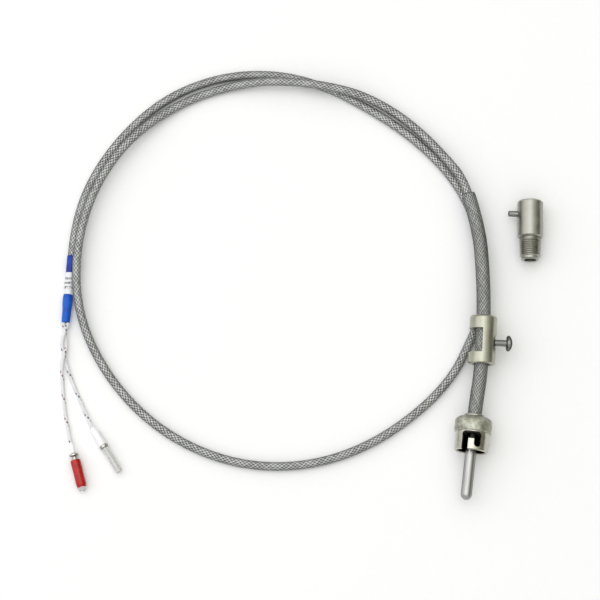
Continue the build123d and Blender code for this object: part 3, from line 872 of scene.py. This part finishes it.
def twisted(phase):
    """Control points of one wire of the twisted pair, a quarter turn apart."""
    points = []
    for index, (x, y, z) in enumerate(TWIST_AXIS):
        angle = radians(phase + 90 * index)
        reach = TWIST_R if index else TWIST_START_R
        points.append((x + reach * cos(angle), y, z + reach * sin(angle)))
    return points


def make_wire_boot(line, material):
    """Thin white tube pulled over a wire's last stretch, just before its ring."""
    step = travel(line)[1]
    covered = line[-round(WIRE_BOOT_LENGTH / step):]
    strips = Strips()
    radii = np.full(len(covered), WIRE_BOOT_R)
    radii[0] = radii[-1] = 0.94 * WIRE_BOOT_R
    round_bar(strips, covered, radii, 20)
    boot = strips.finish("positive_wire_boot", [material])
    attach(boot, "probe")
    return boot


def make_wire(name, node, route, yarns, far_pieces, boot_material=None):
    """Glass-fibre wire: a close braid of white yarn with one coloured tracer yarn."""
    line = braid_line(name, route, WIRE_BRAID)
    strips = Strips()
    plain = [0] * WIRE_BRAID.carriers
    tracer = [1] + plain[1:]
    braid_hand(strips, line, 1, WIRE_BRAID, slots=tracer)
    braid_hand(strips, line, -1, WIRE_BRAID, slots=plain)
    round_bar(strips, line[::2], WIRE_CORE_R, 14)
    wire = strips.finish(name, yarns)
    if boot_material:
        far_pieces = [make_wire_boot(line, boot_material)] + far_pieces
    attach(wire, "probe")
    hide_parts(node)


# ---------------------------------------------------------------- sleeve, marker and terminals


def sleeve_axis():
    """Where the sleeve starts, and its direction."""
    end, before = Vector(LEAD_ROUTE[-1]), Vector(LEAD_ROUTE[-2])
    return end, end - before


def make_shrink_sleeve(material, shaded_material):
    """Shrunk tube: flares over the lead, necks under the marker, bulges, then hugs the two wires."""
    start, ahead = sleeve_axis()
    outline = [
        (1.52, 0.0), (2.10, 0.0), (2.18, 0.5), (2.20, 1.6), (2.16, 3.4), (2.20, 5.4), (2.14, 7.4),
        (1.98, 8.3), (1.95, 10.0), (1.95, 14.0), (1.95, 18.4), (2.20, 18.9), (2.33, 19.8), (2.35, 21.6),
        (2.30, 23.4), (2.12, 24.8), (2.03, 26.2), (2.00, 28.4), (1.97, 30.6), (1.90, 31.5), (1.55, 31.8),
        (1.52, 31.8),
    ]
    sleeve = turned("heat_shrink", start, ahead, outline, material, 72, ripple=0.012)
    # The first stretch of the tube takes the darker blue: painted shade
    sleeve.data.materials.append(shaded_material)
    reach = ahead.normalized()
    for face in sleeve.data.polygons:
        if (face.center - start).dot(reach) < SHADED_BLUE_LENGTH:
            face.material_index = 1
    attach(sleeve, "probe")
    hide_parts("heat_shrink_sleeve")
    return sleeve


def make_marker(material):
    """Thin white tube slipped over the sleeve, with slightly flared ends."""
    start, ahead = sleeve_axis()
    outline = [
        (2.04, 8.2), (2.30, 8.25), (2.24, 9.0), (2.22, 13.0), (2.26, 17.6), (2.34, 18.5), (2.06, 18.6),
    ]
    marker = turned("marker_tube", start, ahead, outline, material, 64, ripple=0.008)
    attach(marker, "probe")
    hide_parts("marker_sleeve")
    return marker


def make_terminal(start, axis, made):
    """Turned pieces along one terminal, each with its material, hiding the nodes it stands for."""
    pieces = []
    for name, outline, material, slot, nodes in made:
        piece = turned(name, start, axis, outline, material, 56, ripple=0.006)
        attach(piece, "probe")
        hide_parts(*nodes)
        pieces.append(piece)
    return pieces


def make_positive_terminal(metal, vinyl, clear):
    """Flared ring, barrel, red vinyl sleeve and clear rounded tip."""
    ring = [
        (0, -0.10), (1.0, -0.10), (1.25, 0.20), (2.02, 0.35), (2.10, 0.80), (2.02, 1.25), (1.15, 1.50),
        (0.92, 1.70), (0.90, 3.10), (1.30, 3.80), (1.38, 5.0), (1.38, 8.6), (1.10, 9.2), (1.10, 10.4),
        (1.38, 11.0), (1.38, 15.2), (0, 15.2),
    ]
    sleeve = [
        (1.60, 3.3), (2.00, 3.15), (2.26, 3.3), (2.32, 3.9), (2.32, 7.0), (2.27, 9.6), (2.31, 12.0),
        (2.30, 14.6), (2.18, 15.5), (1.95, 16.0), (1.60, 16.0), (1.52, 14.0), (1.52, 5.0),
    ]
    tip = [
        (0, 15.5), (1.45, 15.5), (1.50, 16.0), (1.96, 16.1), (1.88, 16.8), (1.60, 17.4), (1.0, 17.8),
        (0, 17.9),
    ]
    metal_nodes = ("positive_crimp_ring", "positive_terminal")
    made = (
        ("positive_ring_and_barrel", ring, metal, "terminal_metal", metal_nodes),
        ("positive_vinyl", sleeve, vinyl, "red_vinyl", ("positive_sleeve",)),
        ("positive_clear_tip", tip, clear, "clear_plastic", ("positive_tip",)),
    )
    return make_terminal(POSITIVE_SPLAY[-1], POSITIVE_AXIS, made)


def make_negative_terminal(metal, boot_white, clear):
    """Tapered boot, flared ring, slim hollow barrel and clear sleeve."""
    boot = [
        (0, 0.0), (0.95, 0.0), (1.20, 0.25), (1.25, 1.0), (1.60, 2.0), (1.92, 3.0), (2.00, 4.0),
        (1.95, 6.5), (2.00, 9.2), (1.85, 9.75), (0, 9.75),
    ]
    barrel = [
        (0, 9.80), (1.70, 9.80), (1.92, 10.0), (1.95, 10.5), (1.86, 10.95), (1.15, 11.1), (0.94, 11.3),
        (0.92, 16.4), (0.78, 16.9), (0.78, 17.8), (0.94, 18.2), (0.95, 23.5), (0.60, 23.7), (0.60, 18.6),
        (0, 18.5),
    ]
    sleeve = [
        (1.08, 11.2), (1.46, 11.2), (1.50, 11.6), (1.46, 15.0), (1.50, 19.0), (1.48, 23.2), (1.34, 24.2),
        (1.10, 24.2), (1.06, 20.0),
    ]
    metal_nodes = ("negative_crimp_ring", "negative_terminal")
    made = (
        ("negative_wire_boot", boot, boot_white, "boot_plastic", ("negative_boot",)),
        ("negative_ring_and_barrel", barrel, metal, "terminal_metal", metal_nodes),
        ("negative_clear_sleeve", sleeve, clear, "clear_plastic", ("negative_sleeve",)),
    )
    return make_terminal(NEGATIVE_SPLAY[-1], NEGATIVE_AXIS, made)


# ---------------------------------------------------------------- spring


def make_spring(material):
    """Compression spring with closed ends, between the seat ring and the washer."""
    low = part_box("spring_seat_ring")[1][1]
    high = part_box("thrust_washer")[0][1]
    wire = SPRING_WIRE_R
    clear = high - low - 2 * wire - 2 * SPRING_GAP
    part = np.linspace(0, 1, SPRING_STEPS) * SPRING_TURNS
    flat = 2 * wire * 1.02
    closed = flat * SPRING_CLOSED_TURNS
    ends = [0, SPRING_CLOSED_TURNS, SPRING_TURNS - SPRING_CLOSED_TURNS, SPRING_TURNS]
    rise = low + wire + SPRING_GAP + np.interp(part, ends, [0, closed, clear - closed, clear])
    angle = 2 * pi * part
    line = np.column_stack([SPRING_MEAN_R * np.cos(angle), rise, SPRING_MEAN_R * np.sin(angle)])
    strips = Strips()
    round_bar(strips, line, wire, 14)
    spring = strips.finish("thrust_spring_coil", [material])
    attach(spring, "probe")
    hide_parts("thrust_spring")
    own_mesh(spring)


# ---------------------------------------------------------------- whole


def finish_node(names, material):
    """Gives nodes shown with their CAD shape a material."""
    for name in names:
        data = cad_nodes[name].data
        data.materials.clear()
        data.materials.append(material)


aim_camera()

nickel = plated_metal("nickel_plate", (0.46, 0.46, 0.395), (0.35, 0.35, 0.275))
cap_nickel = cap_metal("nickel_cap")
adapter_nickel = plated_metal(
    "nickel_adapter", (0.42, 0.415, 0.375), (0.33, 0.328, 0.29), 0.28, 0.42, ADAPTER_TURN, mottle=0.6
)
# The stem turns nearly black where it stands inside the cap: painted shade
stem_steel = brushed_steel(
    "stem_steel", (0.52, 0.52, 0.51), (0.34, 0.34, 0.33), (1, 0.03, 1), 0.28, 0.40, 0.08, STEM_SHADE_Y
)
screw_steel = brushed_steel(
    "screw_steel", (0.28, 0.28, 0.27), (0.16, 0.16, 0.155), (0.03, 1, 1), 0.08, 0.18, 0.02
)
# Ferrule, seat ring and washer coloured nearly black: painted shade inside the cap, not their nickel
shaded_inner_metal = plated_metal("shaded_inner_metal", (0.13, 0.13, 0.12), (0.03, 0.03, 0.03), 0.4, 0.6)
spring_steel = brushed_steel("spring_steel", (0.50, 0.50, 0.48), (0.34, 0.34, 0.32), (1, 0.2, 1))
hose_braid = braid_metal("hose_braid", (0.46, 0.47, 0.455), (0.065, 0.065, 0.065), 4)
lead_braid = braid_metal("lead_braid", (0.60, 0.61, 0.60), (0.07, 0.07, 0.07), 5)
# Nearly black core under the braids: painted shade between the strips
core_dark = shaded_core("braid_core")
glass_white = fibre("glass_fibre_white", (0.90, 0.89, 0.91), (0.74, 0.74, 0.77))
tracer_red = fibre("tracer_red", (0.24, 0.04, 0.06), (0.10, 0.02, 0.03))
tracer_blue = fibre("tracer_blue", (0.03, 0.03, 0.14), (0.01, 0.01, 0.05))
blue_shrink = soft_plastic(
    "blue_heat_shrink", (0.008, 0.13, 0.62), (0.004, 0.06, 0.40), 0.38, 0.5, 0.0, 160, shine=0.3
)
# Darker blue of the sleeve's first stretch: painted shade
shaded_blue = soft_plastic(
    "blue_heat_shrink_shaded", (0.012, 0.05, 0.38), (0.008, 0.012, 0.16), 0.38, 0.5, 0.0, 160, shine=0.3
)
marker_white = ring_marked_plastic(
    "marker_white", (0.80, 0.81, 0.84), (0.70, 0.71, 0.74), (0.10, 0.10, 0.12)
)
terminal_metal = brushed_steel(
    "terminal_tin", (0.66, 0.65, 0.62), (0.46, 0.45, 0.43), (1, 0.2, 1), 0.14, 0.28
)
red_vinyl = clear_plastic("red_vinyl", (0.66, 0.014, 0.008), (0.36, 0.004, 0.004), 0.25)
clear_sleeve = clear_plastic("clear_sleeve", (0.97, 0.97, 0.96), (0.90, 0.90, 0.89), 0.6)
boot_white = soft_plastic("boot_plastic", (0.92, 0.91, 0.93), (0.84, 0.83, 0.86), 0.3, 0.45, 0.2, 300)
potting = soft_plastic("potting", (0.05, 0.07, 0.14), (0.02, 0.03, 0.08), 0.5, 0.7, 0.0, 900)

sleeve = make_shrink_sleeve(blue_shrink, shaded_blue)
marker = make_marker(marker_white)
positive_pieces = make_positive_terminal(terminal_metal, red_vinyl, clear_sleeve)
negative_pieces = make_negative_terminal(terminal_metal, boot_white, clear_sleeve)
make_hose(hose_braid, core_dark)
make_lead(lead_braid, core_dark)
make_wire(
    "wire_positive_yarn", "wire_positive", twisted(180) + POSITIVE_SPLAY,
    [glass_white, tracer_red], positive_pieces, boot_white,
)
make_wire(
    "wire_negative_yarn", "wire_negative", twisted(0) + NEGATIVE_SPLAY,
    [glass_white, tracer_blue], negative_pieces,
)
make_spring(spring_steel)

finish_node(["stop_ring", "clamp_collar"], nickel)
finish_node(["end_ferrule", "spring_seat_ring", "thrust_washer"], shaded_inner_metal)
finish_node(["bayonet_cap"], cap_nickel)
finish_node(["adapter_body"], adapter_nickel)
finish_node(["probe_sheath", "hot_junction_bead"], stem_steel)
finish_node(["thermo_wire_positive", "thermo_wire_negative"], stem_steel)
finish_node(["thumb_screw_shank", "thumb_screw_head", "adapter_pin"], screw_steel)
finish_node(["lead_braid_in_hose"], lead_braid)
finish_node(["lead_core_in_hose"], core_dark)
finish_node(["sheath_seal", "splice_core"], potting)
finish_node(["ceramic_insulators"], baked_ceramic("ceramic"))

studio()
